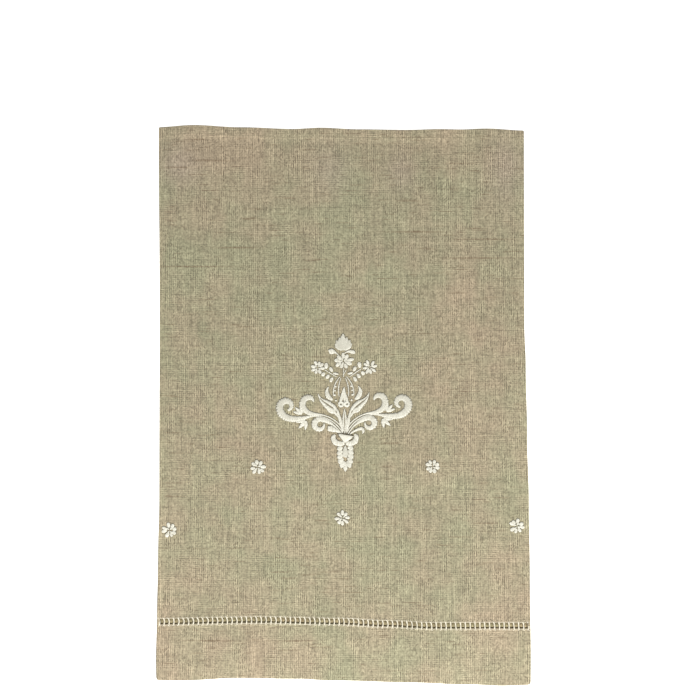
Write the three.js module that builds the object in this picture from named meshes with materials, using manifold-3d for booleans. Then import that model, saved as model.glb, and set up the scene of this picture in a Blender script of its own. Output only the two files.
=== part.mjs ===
import * as THREE from 'three';
import { mergeVertices } from 'three/addons/utils/BufferGeometryUtils.js';
import Module from 'manifold-3d';

// A linen hand towel lying flat, in millimetres. +X runs across it, +Y from the deep hem to the top
// edge and +Z up from the surface that it lies on. The origin is under the middle of the towel.

// Cloth and hems
const evenWidth = 355.6; // the cloth's mean size, side to side and end to end
const evenLength = 533.4;
const hemDepth = 55; // from the bottom edge to the middle of the ladder
const clothThickness = 1.0;
const sideHem = { width: 6, thickness: 1.5 };
const topHem = { width: 9, thickness: 1.6 };
const deepHem = { thickness: 2.0 };
const hemSlope = 1.2; // a hem's fold comes down to the plain cloth over this width
const foldRoundness = 0.32; // how far the top and bottom of a fold draw in, as a share of its thickness
const cornerRadius = { bottom: 5, top: 1.6 };

// Ladder of drawn threads above the deep hem
const ladder = { height: 5, openings: 76, barWidth: 1.7, endMargin: 2.2, cornerCut: 0.9, edgeGap: 1.4 };

// Outline: where each edge runs, as the cloth lies
const leftEdge = [
  { y: -275, x: -180.6 },
  { y: -245, x: -180.9 },
  { y: -205, x: -180.0 },
  { y: -150, x: -179.0 },
  { y: -90, x: -177.7 },
  { y: 90, x: -177.3 },
  { y: 275, x: -178.2 },
];
const rightEdge = [
  { y: -275, x: 180.7 },
  { y: -245, x: 180.9 },
  { y: -165, x: 180.0 },
  { y: -95, x: 179.0 },
  { y: -30, x: 177.3 },
  { y: 40, x: 175.9 },
  { y: 75, x: 174.6 },
  { y: 275, x: 174.2 },
];
const topEdge = [
  { x: -180, y: 268.4 },
  { x: -144, y: 270.3 },
  { x: -98, y: 268.4 },
  { x: -46, y: 266.7 },
  { x: -20, y: 267.7 },
  { x: 18, y: 266.4 },
  { x: 64, y: 265.8 },
  { x: 95, y: 266.6 },
  { x: 118, y: 266.2 },
  { x: 141, y: 266.9 },
  { x: 180, y: 265.2 },
];
const bottomEdge = [
  { x: -183, y: -265.1 },
  { x: -155, y: -265.3 },
  { x: -98, y: -262.4 },
  { x: -44, y: -263.6 },
  { x: -13, y: -265.2 },
  { x: 64, y: -267.0 },
  { x: 118, y: -269.0 },
  { x: 150, y: -270.3 },
  { x: 183, y: -269.4 },
];
const ladderLine = [
  { x: -183, y: -208.3 },
  { x: -88, y: -206.2 },
  { x: -5, y: -208.0 },
  { x: 40, y: -210.2 },
  { x: 88, y: -211.7 },
  { x: 183, y: -212.3 },
];

// Low ridges where the cloth stands off the surface: centre, half sizes along and across, turn of the
// long side from +Y towards +X in degrees, and height
const ridges = [
  { x: -96, y: -232, along: 82, across: 40, turn: -6, lift: 2.9 },
  { x: 92, y: -214, along: 66, across: 38, turn: 10, lift: 2.7 },
  { x: -148, y: 246, along: 70, across: 24, turn: 14, lift: 2.0 },
  { x: -22, y: 250, along: 58, across: 20, turn: -10, lift: 1.6 },
  { x: 139, y: 252, along: 62, across: 22, turn: -16, lift: 1.7 },
  { x: 158, y: 20, along: 92, across: 22, turn: 4, lift: 1.8 },
  { x: -150, y: -70, along: 110, across: 20, turn: -3, lift: 1.3 },
];
const restLift = 0.25; // anything lower than this lies flat

// Grid of the cloth: the largest steps between its rows and columns
const gridStep = { across: 20, along: 20 };
const weldDistance = 1e-4; // points nearer than this are one point

// A cosine eased line through the rows of a table, read by the named key
function readTable(table, key, value, at) {
  let next = table.findIndex((row) => row[key] >= at);
  if (next <= 0) next = next < 0 ? table.length - 1 : 1;
  const low = table[next - 1];
  const high = table[next];
  const share = Math.min(1, Math.max(0, (at - low[key]) / (high[key] - low[key])));
  return low[value] + (high[value] - low[value]) * (1 - Math.cos(Math.PI * share)) / 2;
}

const leftX = (y) => readTable(leftEdge, 'y', 'x', y);
const rightX = (y) => readTable(rightEdge, 'y', 'x', y);
const topY = (x) => readTable(topEdge, 'x', 'y', x);
const bottomY = (x) => readTable(bottomEdge, 'x', 'y', x);
const ladderY = (x) => readTable(ladderLine, 'x', 'y', x);

function smoothStep(from, to, at) {
  const share = Math.min(1, Math.max(0, (at - from) / (to - from)));
  return share * share * (3 - 2 * share);
}

// Height of the underside: bell-shaped ridges added up, with all that is lower than restLift laid flat
function undersideHeight(x, y) {
  let height = 0;
  for (const ridge of ridges) {
    const turn = THREE.MathUtils.degToRad(ridge.turn);
    const across = (x - ridge.x) * Math.cos(turn) - (y - ridge.y) * Math.sin(turn);
    const along = (x - ridge.x) * Math.sin(turn) + (y - ridge.y) * Math.cos(turn);
    height += ridge.lift * Math.exp(-((across / ridge.across) ** 2) - (along / ridge.along) ** 2);
  }
  return Math.max(0, height - restLift);
}

// Thickness by the distance to each edge: the hems are thicker and slope down to the plain cloth
function thicknessAt(fromSide, fromTop, aboveLadder) {
  const side = 1 - smoothStep(sideHem.width, sideHem.width + hemSlope, fromSide);
  const top = 1 - smoothStep(topHem.width, topHem.width + hemSlope, fromTop);
  const deep = 1 - smoothStep(-ladder.edgeGap - hemSlope, -ladder.edgeGap, aboveLadder + ladder.height / 2);
  return Math.max(
    clothThickness + side * (sideHem.thickness - clothThickness),
    clothThickness + top * (topHem.thickness - clothThickness),
    clothThickness + deep * (deepHem.thickness - clothThickness),
  );
}

function evenSteps(from, to, largest) {
  const count = Math.ceil((to - from) / largest);
  return Array.from({ length: count + 1 }, (unused, i) => from + ((to - from) * i) / count);
}

// Columns as distances from the left edge on a cloth of even width: corner, hem, plain cloth, hem, corner
const cornerSteps = evenSteps(0, cornerRadius.bottom, cornerRadius.bottom / 3);
const columnsIn = [...cornerSteps, sideHem.width, sideHem.width + hemSlope];
const columns = [
  ...columnsIn,
  ...evenSteps(sideHem.width + hemSlope, evenWidth - sideHem.width - hemSlope, gridStep.across).slice(1, -1),
  ...columnsIn.map((distance) => evenWidth - distance).reverse(),
];

// Rows: each is a share of the way between two lines of the towel, plus a distance in millimetres
const ladderHalf = ladder.height / 2 + ladder.edgeGap;
const deepHemLength = hemDepth - ladderHalf - hemSlope;
const bodyLength = evenLength - hemDepth - ladderHalf - topHem.width - hemSlope;
const rows = [
  ...cornerSteps.map((distance) => ({ band: 'hem', share: 0, offset: distance })),
  ...evenSteps(cornerRadius.bottom, deepHemLength, gridStep.along)
    .slice(1)
    .map((distance) => ({ band: 'hem', share: distance / deepHemLength, offset: 0 })),
  { band: 'ladder', share: 0, offset: -ladderHalf },
  { band: 'ladder', share: 0, offset: ladderHalf },
  ...evenSteps(0, bodyLength, gridStep.along)
    .slice(1)
    .map((distance) => ({ band: 'body', share: distance / bodyLength, offset: 0 })),
  { band: 'top', share: 0, offset: -topHem.width },
  { band: 'top', share: 0, offset: -topHem.width / 2 },
  { band: 'top', share: 0, offset: -cornerRadius.top },
  { band: 'top', share: 0, offset: -cornerRadius.top / 2 },
  { band: 'top', share: 0, offset: 0 },
];

function rowY(row, x) {
  const hemLow = bottomY(x);
  const hemHigh = ladderY(x) - ladderHalf - hemSlope;
  const bodyLow = ladderY(x) + ladderHalf;
  const bodyHigh = topY(x) - topHem.width - hemSlope;
  if (row.band === 'hem') return hemLow + (hemHigh - hemLow) * row.share + row.offset;
  if (row.band === 'ladder') return ladderY(x) + row.offset;
  if (row.band === 'body') return bodyLow + (bodyHigh - bodyLow) * row.share;
  return topY(x) + row.offset;
}

// Rounds a corner: a point in the corner's square moves onto circles about the square's inner corner
function roundCorner(fromSide, fromEnd, radius) {
  if (fromSide >= radius || fromEnd >= radius) return { side: fromSide, end: fromEnd };
  const a = 1 - fromSide / radius;
  const b = 1 - fromEnd / radius;
  return {
    side: radius * (1 - a * Math.sqrt(1 - (b * b) / 2)),
    end: radius * (1 - b * Math.sqrt(1 - (a * a) / 2)),
  };
}

// Place of a grid point on the cloth, with how far it lies inside the outline
function clothPoint(column, row) {
  const across = column / evenWidth;
  const roughX = (across - 0.5) * evenWidth;
  const y = rowY(row, roughX);
  const x = leftX(y) + (rightX(y) - leftX(y)) * across;
  const fromBottom = y - bottomY(roughX);
  const fromTop = topY(roughX) - y;
  const fromLeft = x - leftX(y);
  const fromRight = rightX(y) - x;
  const atLeft = fromLeft < fromRight;
  const atBottom = fromBottom < fromTop;
  const radius = atBottom ? cornerRadius.bottom : cornerRadius.top;
  const corner = roundCorner(Math.min(fromLeft, fromRight), Math.min(fromBottom, fromTop), radius);
  return {
    x: atLeft ? leftX(y) + corner.side : rightX(y) - corner.side,
    y: atBottom ? bottomY(roughX) + corner.end : topY(roughX) - corner.end,
    fromSide: Math.min(fromLeft, fromRight),
    fromTop,
    aboveLadder: y - ladderY(roughX),
  };
}

// The cloth as one closed solid: a top grid, a bottom grid and a rounded rim between them
function clothGeometry() {
  const across = columns.length;
  const along = rows.length;
  const positions = [];
  const triangles = [];
  const isRim = (i, j) => i === 0 || j === 0 || i === across - 1 || j === along - 1;
  const drawIn = (index, count) => (index === 0 ? 1 : index === count - 1 ? -1 : 0);
  const points = rows.map((row) => columns.map((column) => clothPoint(column, row)));

  const addLayer = (share) => {
    const start = positions.length / 3;
    points.forEach((line, j) => line.forEach((point, i) => {
      const thick = thicknessAt(point.fromSide, point.fromTop, point.aboveLadder);
      const inset = share === 0.5 ? 0 : foldRoundness * thick;
      const x = point.x + drawIn(i, across) * inset;
      const y = point.y + drawIn(j, along) * inset;
      positions.push(x, y, undersideHeight(x, y) + share * thick);
    }));
    return start;
  };
  const bottom = addLayer(0);
  const top = addLayer(1);
  const middle = addLayer(0.5); // only its rim is used
  const at = (layer, i, j) => layer + j * across + i;

  for (let j = 0; j < along - 1; j++) {
    for (let i = 0; i < across - 1; i++) {
      const even = (i + j) % 2 === 0;
      const quad = [[i, j], [i + 1, j], [i + 1, j + 1], [i, j + 1]];
      const halves = even ? [[0, 1, 2], [0, 2, 3]] : [[0, 1, 3], [1, 2, 3]];
      for (const half of halves) {
        const corners = half.map((k) => quad[k]);
        triangles.push(...corners.map(([a, b]) => at(top, a, b)));
        triangles.push(...corners.reverse().map(([a, b]) => at(bottom, a, b)));
      }
    }
  }

  // Once round the rim, anticlockwise from above
  const rim = [];
  for (let i = 0; i < across - 1; i++) rim.push([i, 0]);
  for (let j = 0; j < along - 1; j++) rim.push([across - 1, j]);
  for (let i = across - 1; i > 0; i--) rim.push([i, along - 1]);
  for (let j = along - 1; j > 0; j--) rim.push([0, j]);
  rim.forEach(([i, j], k) => {
    const [m, n] = rim[(k + 1) % rim.length];
    for (const [low, high] of [[bottom, middle], [middle, top]]) {
      triangles.push(at(low, i, j), at(low, m, n), at(high, m, n));
      triangles.push(at(low, i, j), at(high, m, n), at(high, i, j));
    }
  });

  // Points of the middle layer that are not on the rim are left out
  const used = new Map();
  const kept = [];
  const indices = triangles.map((index) => {
    if (!used.has(index)) {
      used.set(index, used.size);
      kept.push(...positions.slice(index * 3, index * 3 + 3));
    }
    return used.get(index);
  });
  const geometry = new THREE.BufferGeometry();
  geometry.setAttribute('position', new THREE.Float32BufferAttribute(kept, 3));
  geometry.setIndex(indices);
  return geometry;
}

// One ladder opening: a rectangle with cut corners, run right through the cloth
function openingGeometry(width, height) {
  const cut = ladder.cornerCut;
  const outline = new THREE.Shape();
  outline.moveTo(-width / 2 + cut, -height / 2);
  outline.lineTo(width / 2 - cut, -height / 2);
  outline.lineTo(width / 2, -height / 2 + cut);
  outline.lineTo(width / 2, height / 2 - cut);
  outline.lineTo(width / 2 - cut, height / 2);
  outline.lineTo(-width / 2 + cut, height / 2);
  outline.lineTo(-width / 2, height / 2 - cut);
  outline.lineTo(-width / 2, -height / 2 + cut);
  outline.closePath();
  const tall = 20;
  const geometry = new THREE.ExtrudeGeometry(outline, { depth: tall, bevelEnabled: false });
  return geometry.translate(0, 0, -tall / 2);
}

const manifoldLibrary = await Module();
manifoldLibrary.setup();

function toSolid(geometry) {
  const bare = geometry.clone();
  bare.deleteAttribute('normal');
  bare.deleteAttribute('uv');
  const merged = mergeVertices(bare, weldDistance);
  return new manifoldLibrary.Manifold(new manifoldLibrary.Mesh({
    numProp: 3,
    vertProperties: new Float32Array(merged.attributes.position.array),
    triVerts: new Uint32Array(merged.index.array),
  }));
}

function toGeometry(solid) {
  const mesh = solid.getMesh();
  const geometry = new THREE.BufferGeometry();
  geometry.setAttribute('position', new THREE.BufferAttribute(new Float32Array(mesh.vertProperties), 3));
  geometry.setIndex(new THREE.BufferAttribute(new Uint32Array(mesh.triVerts), 1));
  geometry.computeVertexNormals();
  return geometry;
}

// Cuts the ladder openings along their wavy line, one after another at an even pitch
function cutLadder(cloth) {
  const roughMiddle = ladderY(0);
  const left = leftX(roughMiddle) + ladder.endMargin;
  const right = rightX(roughMiddle) - ladder.endMargin;
  const pitch = (right - left) / ladder.openings;
  let solid = cloth;
  for (let i = 0; i < ladder.openings; i++) {
    const x = left + (i + 0.5) * pitch;
    const opening = openingGeometry(pitch - ladder.barWidth, ladder.height);
    opening.translate(x, ladderY(x), 0);
    solid = solid.subtract(toSolid(opening));
  }
  return solid;
}

const towel = new THREE.Group();

const linen = new THREE.MeshStandardMaterial({ color: 0xb4a888, roughness: 0.92, metalness: 0 });
const cloth = new THREE.Mesh(toGeometry(cutLadder(toSolid(clothGeometry()))), linen);
cloth.name = 'linen_cloth';
towel.add(cloth);

export default towel;
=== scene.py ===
import functools
import math

import bpy
import numpy as np
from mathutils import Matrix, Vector


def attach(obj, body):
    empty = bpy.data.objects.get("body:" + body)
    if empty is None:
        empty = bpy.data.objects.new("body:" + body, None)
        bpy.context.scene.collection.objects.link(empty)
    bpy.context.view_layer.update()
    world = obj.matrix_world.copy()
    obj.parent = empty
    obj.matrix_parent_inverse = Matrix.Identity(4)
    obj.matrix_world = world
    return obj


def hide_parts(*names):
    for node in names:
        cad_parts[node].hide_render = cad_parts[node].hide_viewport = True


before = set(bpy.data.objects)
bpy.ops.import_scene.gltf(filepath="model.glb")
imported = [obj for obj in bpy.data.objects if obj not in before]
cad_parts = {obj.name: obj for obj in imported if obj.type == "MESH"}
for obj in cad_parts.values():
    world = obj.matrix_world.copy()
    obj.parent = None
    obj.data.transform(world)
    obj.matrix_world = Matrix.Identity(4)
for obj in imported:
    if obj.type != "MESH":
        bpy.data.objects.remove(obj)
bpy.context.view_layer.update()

scene = bpy.context.scene
millimetre = 0.001
draw = np.random.default_rng(14)  # every random draw comes from here, in order

# The towel lies as its solid does: +X across it, +Y from the deep hem to the top edge, +Z up. All the
# sizes below are millimetres and are turned into metres when a mesh is made.

cloth = {
    "width": 355.6,
    "length": 533.4,
    "hemDepth": 55.0,  # from the bottom edge to the middle of the ladder
    "plainThick": 0.75,
    "sideHem": 6.0,
    "sideThick": 1.3,
    "topHem": 9.0,
    "topThick": 1.4,
    "deepThick": 1.9,
    "foldThick": 1.3,  # the deep hem where it starts at the ladder
    "foldEase": 14.0,  # how far below the ladder it has its full thickness
    "slope": 1.2,  # a hem comes down to the plain cloth over this width
    "seamInset": 1.1,  # the line of stitches inside a hem's fold
    "seamWidth": 0.5,
    "stitchDip": 0.14,  # how deep the stitches pull the cloth in
    "cornerBottom": 3.2,
    "cornerTop": 1.6,
    "restLift": 0.25,
    "rowStep": 6.0,
    "cornerRows": [1.6, 2.3],  # closer rows at the lower corners and across the top hem
    "topRows": [8.3, 7.9, 7.5, 6.5, 4.4, 2.6],
    "turning": 13.0,  # the deep hem's edge that is turned in under it
    "turningEase": 2.0,
    "turningLight": 0.4,  # how much of the deep hem's lightness comes from its turned-in edge
}
ladder = {
    "height": 5.0,
    "openings": 76,
    "barWidth": 1.3,
    "endMargin": 2.2,
    "edgeGap": 1.4,
    "round": 0.42,  # how much wider a bar is where it joins the cloth
}
leftEdge = {
    "y": [-275, -245, -205, -150, -90, 90, 275],
    "x": [-180.6, -180.9, -180.0, -179.0, -177.7, -177.3, -178.2],
}
rightEdge = {
    "y": [-275, -245, -165, -95, -30, 40, 75, 275],
    "x": [180.7, 180.9, 180.0, 179.0, 177.3, 175.9, 174.6, 174.2],
}
topEdge = {
    "x": [-180, -144, -98, -46, -20, 18, 64, 95, 118, 141, 180],
    "y": [268.4, 270.3, 268.4, 266.7, 267.7, 266.4, 265.8, 266.6, 266.2, 266.9, 265.2],
}
bottomEdge = {
    "x": [-183, -155, -98, -44, -13, 64, 118, 150, 183],
    "y": [-265.1, -265.3, -262.4, -263.6, -265.2, -267.0, -269.0, -270.3, -269.4],
}
ladderLine = {
    "x": [-183, -88, -5, 40, 88, 183],
    "y": [-208.3, -206.2, -208.0, -210.2, -211.7, -212.3],
}
ridges = {  # low ridges: middle, half sizes along and across, turn of the long side, height
    "x": [-96, 92, -148, -22, 139, 158, -150],
    "y": [-232, -214, 246, 250, 252, 20, -70],
    "along": [82, 66, 70, 58, 62, 92, 110],
    "across": [40, 38, 24, 20, 22, 22, 20],
    "turn": [-6, 10, 14, -10, -16, 4, -3],
    "lift": [2.9, 2.7, 2.0, 1.6, 1.7, 1.8, 1.3],
}


def easedLine(table):
    # a line through the rows of a table's two columns, eased by half a cosine wave from row to row
    keys, values = (np.array(column, float) for column in table.values())

    def valueAt(place):
        row = np.clip(np.searchsorted(keys, place) - 1, 0, len(keys) - 2)
        share = np.clip((place - keys[row]) / (keys[row + 1] - keys[row]), 0, 1)
        return values[row] + (values[row + 1] - values[row]) * (1 - np.cos(np.pi * share)) / 2

    return valueAt


leftX, rightX = easedLine(leftEdge), easedLine(rightEdge)
topY, bottomY, ladderY = easedLine(topEdge), easedLine(bottomEdge), easedLine(ladderLine)


def smoothStep(low, high, at):
    # three times the share's square less twice its cube, for a share of 0 at low and 1 at high
    share = np.clip((at - low) / (high - low), 0, 1)
    return share * share * (3 - 2 * share)


def underHeight(x, y):
    # bell-shaped ridges added up, with all that is lower than restLift laid flat
    height = np.zeros(np.broadcast(x, y).shape)
    for middleX, middleY, along, across, turn, lift in zip(*ridges.values()):
        cosine, sine = math.cos(math.radians(turn)), math.sin(math.radians(turn))
        side = (x - middleX) * cosine - (y - middleY) * sine
        length = (x - middleX) * sine + (y - middleY) * cosine
        height = height + lift * np.exp(-((side / across) ** 2) - (length / along) ** 2)
    return np.maximum(0, height - cloth["restLift"])


def thicknessAt(fromSide, fromTop, aboveLadder):
    # the thickest of the plain cloth and its hems, each eased down over the slope, less a bell along the
    # line of stitches
    plain, slope = cloth["plainThick"], cloth["slope"]
    fold = -ladder["height"] / 2
    side = 1 - smoothStep(cloth["sideHem"], cloth["sideHem"] + slope, fromSide)
    top = 1 - smoothStep(cloth["topHem"], cloth["topHem"] + slope, fromTop)
    deep = 1 - smoothStep(fold, fold + slope, aboveLadder)
    swell = smoothStep(0, cloth["foldEase"], fold - aboveLadder)
    full = cloth["foldThick"] + (cloth["deepThick"] - cloth["foldThick"]) * swell
    thick = np.maximum.reduce([
        plain + side * (cloth["sideThick"] - plain),
        plain + top * (cloth["topThick"] - plain),
        plain + deep * (full - plain),
    ])
    sideSeam = (fromSide - cloth["sideHem"] + cloth["seamInset"]) / cloth["seamWidth"]
    topSeam = (fromTop - cloth["topHem"] + cloth["seamInset"]) / cloth["seamWidth"]
    seam = np.maximum(np.exp(-sideSeam ** 2) * (1 - deep), np.exp(-topSeam ** 2))
    return thick - cloth["stitchDip"] * seam


def surfaceHeight(x, y):
    # top of the cloth under a point, for everything that is stitched onto it
    fromSide = np.minimum(x - leftX(y), rightX(y) - x)
    return underHeight(x, y) + thicknessAt(fromSide, topY(x) - y, y - ladderY(x))


def addMesh(name, points, faces, material):
    # points in millimetres; the object sits at the origin with its place in its mesh
    mesh = bpy.data.meshes.new(name)
    corners = np.concatenate([np.asarray(f).ravel() for f in faces])
    sizes = np.concatenate([np.full(len(f), f.shape[1]) for f in faces])
    mesh.vertices.add(len(points))
    mesh.vertices.foreach_set("co", (np.asarray(points) * millimetre).astype(np.float32).ravel())
    mesh.loops.add(len(corners))
    mesh.loops.foreach_set("vertex_index", corners.astype(np.int32))
    mesh.polygons.add(len(sizes))
    mesh.polygons.foreach_set("loop_start", np.concatenate([[0], np.cumsum(sizes)[:-1]]).astype(np.int32))
    mesh.update(calc_edges=True)
    mesh.validate()
    mesh.shade_smooth()
    piece = bpy.data.objects.new(name, mesh)
    scene.collection.objects.link(piece)
    mesh.materials.append(material)
    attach(piece, "root")
    return piece


def setAttribute(piece, name, kind, values):
    # one number or one place for each point of the mesh
    layer = piece.data.attributes.new(name, kind, "POINT")
    key = "vector" if kind == "FLOAT_VECTOR" else "value"
    layer.data.foreach_set(key, np.asarray(values, np.float32).ravel())


# Node helpers: a socket or a plain value may stand for any input


def plug(tree, socket, value):
    # links a socket, or sets a plain value
    if isinstance(value, bpy.types.NodeSocket):
        tree.links.new(value, socket)
    else:
        socket.default_value = value


def addNode(tree, kind, values, **settings):
    # the node gets its settings first, then its inputs by name or number
    node = tree.nodes.new("ShaderNode" + kind)
    for key, value in settings.items():
        setattr(node, key, value)
    for key, value in values.items():
        plug(tree, node.inputs[key], value)
    return node.outputs


def mathNode(tree, operation, *values, clamp=False):
    return addNode(tree, "Math", dict(enumerate(values)), operation=operation, use_clamp=clamp)[0]


def mathIn(tree, *operations):
    # a short function for each of these kinds of math node in one tree
    return [functools.partial(mathNode, tree, operation) for operation in operations]


def combineNode(tree, *parts):
    return addNode(tree, "CombineXYZ", dict(enumerate(parts)))[0]


def noiseNode(tree, vector, detail=2.0, roughness=0.5, scale=1.0):
    values = {"Vector": vector, "Scale": scale, "Detail": detail, "Roughness": roughness}
    return addNode(tree, "TexNoise", values)["Fac"]


def mapNode(tree, value, low, high, toLow, toHigh, smooth=False):
    values = {"Value": value, "From Min": low, "From Max": high, "To Min": toLow, "To Max": toHigh}
    return addNode(tree, "MapRange", values, interpolation_type="SMOOTHSTEP" if smooth else "LINEAR")[0]


def mixValue(tree, factor, a, b):
    return addNode(tree, "Mix", {0: factor, 2: a, 3: b})[0]


def mixColour(tree, factor, a, b, blend="MIX"):
    return addNode(tree, "Mix", {0: factor, 6: a, 7: b}, data_type="RGBA", blend_type=blend)[2]


def bumpNode(tree, height, look):
    values = {"Strength": look["bump"], "Distance": look["bumpDepth"] * millimetre, "Height": height}
    return addNode(tree, "Bump", values)["Normal"]


def attributeNode(tree, name, output):
    return addNode(tree, "Attribute", {}, attribute_name=name)[output]


def placeGroup(tree, group, values):
    return addNode(tree, "Group", values, node_tree=group)


def newGroup(name, inputs, outputs):
    # an input is a number, or a vector where its value is None; every output is a number
    group = bpy.data.node_groups.new(name, "ShaderNodeTree")
    for label, value in inputs.items():
        kind = "NodeSocketVector" if value is None else "NodeSocketFloat"
        socket = group.interface.new_socket(label, in_out="INPUT", socket_type=kind)
        if value is not None:
            socket.default_value = value
    for label in outputs:
        group.interface.new_socket(label, in_out="OUTPUT", socket_type="NodeSocketFloat")
    return group, group.nodes.new("NodeGroupInput").outputs, group.nodes.new("NodeGroupOutput").inputs


shaderSockets = {
    "colour": "Base Color",
    "roughness": "Roughness",
    "specular": "Specular IOR Level",
    "sheen": "Sheen Weight",
    "sheenRoughness": "Sheen Roughness",
    "glowColour": "Emission Color",
    "glow": "Emission Strength",
}


def newMaterial(name, look):
    # the constants of a look go on the shader's own sockets
    material = bpy.data.materials.new(name)
    material.use_nodes = True
    shader = material.node_tree.nodes["Principled BSDF"]
    for key, label in shaderSockets.items():
        if key in look:
            shader.inputs[label].default_value = look[key]
    return material, material.node_tree, shader


# Plain weave. Place is the spot on the flat cloth in millimetres. Each thread has its own shade and its
# own thick and thin stretches, each crossing sits a little differently, and warp and weft take turns on top.

weaveShape = {
    "sway": 4.0,  # how far a thread strays from straight
    "strayWaves": (0.04, 0.006),  # waves of that to a millimetre, across the threads and along them
    "patchyShare": 0.78,  # of a thread's shade that changes along it
    "patchyRange": (0.32, 0.68),  # the noise where that is darkest and lightest
    "slubWaves": 0.03,
    "slubRange": (0.6, 0.7),  # the noise where a slub begins and where it is full
    "crossingStep": 0.62,  # stretches of one shade to a thread's width, along a thread
    "crossingShift": 0.37,  # and their shift from thread to thread
    "everySecond": 0.36,  # share of a crossing's shade that alternates from thread to thread
    "patchWaves": (0.07, 0.05),  # patches to a millimetre in which warp or weft shows more
    "patchRange": (0.26, 0.6),
    "warpShare": 0.45,  # of the warp's shade in a crossing
    "warpOnTop": 0.3,  # and how much more where the warp is on top
}


def makeWeaveGroup():
    # a thread's number is the whole part of its place over the pitch, after a slow noise moved it sideways
    shape = weaveShape
    inputs = {"Place": None, "Thread Pitch": 1.0, "Slub Length": 24.0}
    group, given, result = newGroup("plainWeave", inputs, ["Thread", "Crossing", "Slub", "Height"])
    times, timesPlus, over, less = mathIn(group, "MULTIPLY", "MULTIPLY_ADD", "DIVIDE", "SUBTRACT")
    floor, fraction = mathIn(group, "FLOOR", "FRACT")

    def noise(*place, detail=2.0, roughness=0.5):
        return noiseNode(group, combineNode(group, *place), detail, roughness)

    def whiteNoise(*place):
        values = {"Vector": combineNode(group, *place)}
        return addNode(group, "TexWhiteNoise", values, noise_dimensions="2D")["Value"]

    def blend(a, b, share):
        return timesPlus(a, 1 - share, times(b, share))

    def threadAt(place, stray):
        return over(timesPlus(stray, shape["sway"], place), given["Thread Pitch"])

    x, y, _ = addNode(group, "SeparateXYZ", {0: given["Place"]})
    across, along = shape["strayWaves"]
    warpAt = threadAt(x, noise(times(x, across), times(y, along)))
    weftAt = threadAt(y, noise(times(x, along), times(y, across), 7.0))
    warp, weft = floor(warpAt), floor(weftAt)

    def threadShade(number, along, step):
        # an even random shade for the whole thread, and a noise drawn out along it
        patchy = noise(times(number, step), over(along, given["Slub Length"]), detail=4.0, roughness=0.68)
        patchy = mapNode(group, patchy, *shape["patchyRange"], 0.0, 1.0)
        return blend(whiteNoise(number, step), patchy, shape["patchyShare"])

    # the odd steps keep the noises of neighbouring threads apart
    warpShade = threadShade(warp, y, 7.31)
    weftShade = threadShade(weft, x, 5.17)
    # slubs: thin stretches along single weft threads
    uneven = noise(times(x, shape["slubWaves"]), times(weft, 3.71), 5.0, roughness=0.6)
    plug(group, result["Slub"], mapNode(group, uneven, *shape["slubRange"], 0.0, 1.0, smooth=True))

    def crossing(own, other, ownFirst):
        # a stretch one thread wide and about two long: its own shade, and every second thread is lighter
        stretch = floor(timesPlus(own, shape["crossingShift"], times(other, shape["crossingStep"])))
        shade = whiteNoise(own, stretch) if ownFirst else whiteNoise(stretch, own)
        turn = times(fraction(times(own, 0.5)), 2.0)
        return blend(shade, turn, shape["everySecond"])

    # in some patches the warp shows as ribs, in others the weft does
    u, v = (times(at, waves) for at, waves in zip((x, y), shape["patchWaves"]))
    patch = noise(u, v, 3.0, detail=3.0, roughness=0.6)
    warpShows = mapNode(group, patch, *shape["patchRange"], 0.0, 1.0)
    ribs = mixValue(group, warpShows, crossing(weft, warpAt, False), crossing(warp, weftAt, True))
    plug(group, result["Crossing"], ribs)

    # height of each thread: round across, and rising and falling along as it passes over and under
    def crown(at):
        return mathNode(group, "SINE", times(fraction(at), math.pi))

    def wave(along, number):
        phase = mathNode(group, "ADD", less(along, 0.5), number)
        return timesPlus(mathNode(group, "COSINE", times(phase, math.pi)), 0.5, 0.5)

    warpTop = times(crown(warpAt), wave(weftAt, warp))
    weftTop = times(crown(weftAt), less(1.0, wave(warpAt, weft)))
    onTop = mathNode(group, "GREATER_THAN", warpTop, weftTop)
    warpShare = timesPlus(onTop, shape["warpOnTop"], shape["warpShare"])
    plug(group, result["Thread"], mixValue(group, warpShare, weftShade, warpShade))
    plug(group, result["Height"], mathNode(group, "MAXIMUM", warpTop, weftTop))
    return group


patchShape = {  # each noise has its patches' width and height in patch sizes, shift, detail and roughness
    "alongWarp": (0.5, 1.6, 3.0, 2.0, 0.55),
    "alongWeft": (1.4, 0.6, 9.0, 2.0, 0.55),
    "toneRange": (0.72, 1.28),
    "depth": (0.45, 0.55, 17.0, 5.0, 0.75),
}


def makePatchGroup():
    # undyed flax's soft patches of two tones, noise drawn out along the warp plus noise along the weft
    group, given, result = newGroup("flaxPatches", {"Place": None, "Patch Size": 45.0}, ["Tone", "Depth"])
    add, over = mathIn(group, "ADD", "DIVIDE")
    x, y, _ = addNode(group, "SeparateXYZ", {0: given["Place"]})

    def patches(wide, high, shift, detail, roughness):
        u, v = (over(over(at, size), given["Patch Size"]) for at, size in ((x, wide), (y, high)))
        return noiseNode(group, combineNode(group, u, v, shift), detail, roughness)

    tone = add(patches(*patchShape["alongWarp"]), patches(*patchShape["alongWeft"]))
    plug(group, result["Tone"], mapNode(group, tone, *patchShape["toneRange"], 0.0, 1.0, smooth=True))
    plug(group, result["Depth"], patches(*patchShape["depth"]))
    return group


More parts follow.
